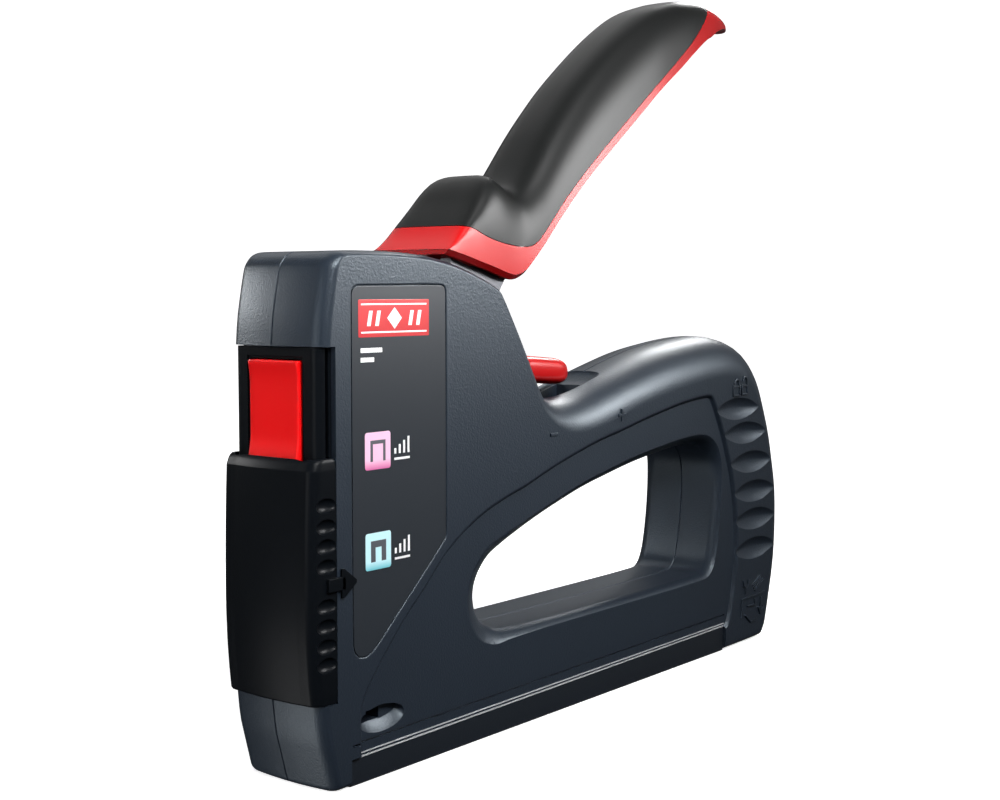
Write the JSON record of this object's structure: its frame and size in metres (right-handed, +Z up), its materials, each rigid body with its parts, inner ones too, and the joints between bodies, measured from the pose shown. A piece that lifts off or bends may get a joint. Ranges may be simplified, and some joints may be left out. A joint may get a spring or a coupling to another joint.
{
  "type": "hand tacker staple gun",
  "caption": "Heavy-duty hand tacker with a raised squeeze lever, finger opening, sliding staple selector, power adjuster and bottom staple magazine.",
  "frame": {"origin": "middle of the base in plan, at base height", "axes": "+X from the nose to the rear end, +Z up from the base, Y across the seam plane between the two half shells"},
  "size_m": [0.1934, 0.0276, 0.1787],
  "materials": {
    "housing": "fine-grained satin",
    "label": "satin film",
    "black": "satin",
    "red": "gloss",
    "soft": "soft satin",
    "steel": "brushed",
    "dark_steel": "brushed",
    "spring": "bright",
    "bumper": "soft"
  },
  "bodies": {
    "housing": {"right_shell": "housing", "left_shell": "housing", "label_right": "label", "label_left": "label", "shell_screws": "steel", "front_frame": "black", "nose_plate": "steel", "power_spring": "spring", "spring_seat": "black", "bumper": "bumper", "lever_pin": "steel", "lever_spring": "spring", "button_spring": "spring", "magazine_base": "black", "magazine_channel": "steel"},
    "lever": {"lever_frame": "red", "lever_grip": "soft", "front_pad": "soft", "lever_arm": "steel"},
    "striker": {"striker_blade": "steel", "plunger": "dark_steel"},
    "selector": {"selector_slide": "black"},
    "button": {"lock_button": "red"},
    "adjuster": {"power_adjuster": "red"},
    "catch": {"lock_slide": "black"},
    "drawer": {"track_core": "steel", "pusher_rod": "steel", "pusher_spring": "spring", "magazine_plug": "black"},
    "pusher": {"pusher": "dark_steel"}
  },
  "joints": [
    {"name": "lever_hinge", "type": "hinge", "parent": "housing", "child": "lever", "pos_m": [-0.04425, 0, 0.097], "axis": [0, 1, 0], "range_deg": [0, 39], "stiffness_Nm_per_rad": 0.4, "springref_deg": -22.92},
    {"name": "striker_lift", "type": "slide", "parent": "housing", "child": "striker", "axis": [0, 0, 1], "range_m": [0, 0.0167], "deforming": ["power_spring"]},
    {"name": "selector_lift", "type": "slide", "parent": "housing", "child": "selector", "axis": [0, 0, 1], "range_m": [0, 0.0205]},
    {"name": "button_press", "type": "slide", "parent": "housing", "child": "button", "axis": [1, 0, 0], "range_m": [0, 0.0013], "stiffness_N_per_m": 300, "springref_m": -0.001, "deforming": ["button_spring"]},
    {"name": "power_adjust", "type": "slide", "parent": "housing", "child": "adjuster", "axis": [1, 0, 0], "range_m": [-0.012, 0.007]},
    {"name": "catch_slide", "type": "slide", "parent": "housing", "child": "catch", "axis": [0.3746, 0, -0.9272], "range_m": [0, 0.003]},
    {"name": "magazine_draw", "type": "slide", "parent": "housing", "child": "drawer", "axis": [1, 0, 0], "range_m": [0, 0.11]},
    {"name": "pusher_feed", "type": "slide", "parent": "drawer", "child": "pusher", "axis": [1, 0, 0], "range_m": [0, 0.1], "stiffness_N_per_m": 15, "springref_m": -0.06, "deforming": ["pusher_spring"]}
  ],
  "couplings": [
    {"joint": "striker_lift", "follows": "lever_hinge", "m_per_rad": 0.0245}
  ]
}
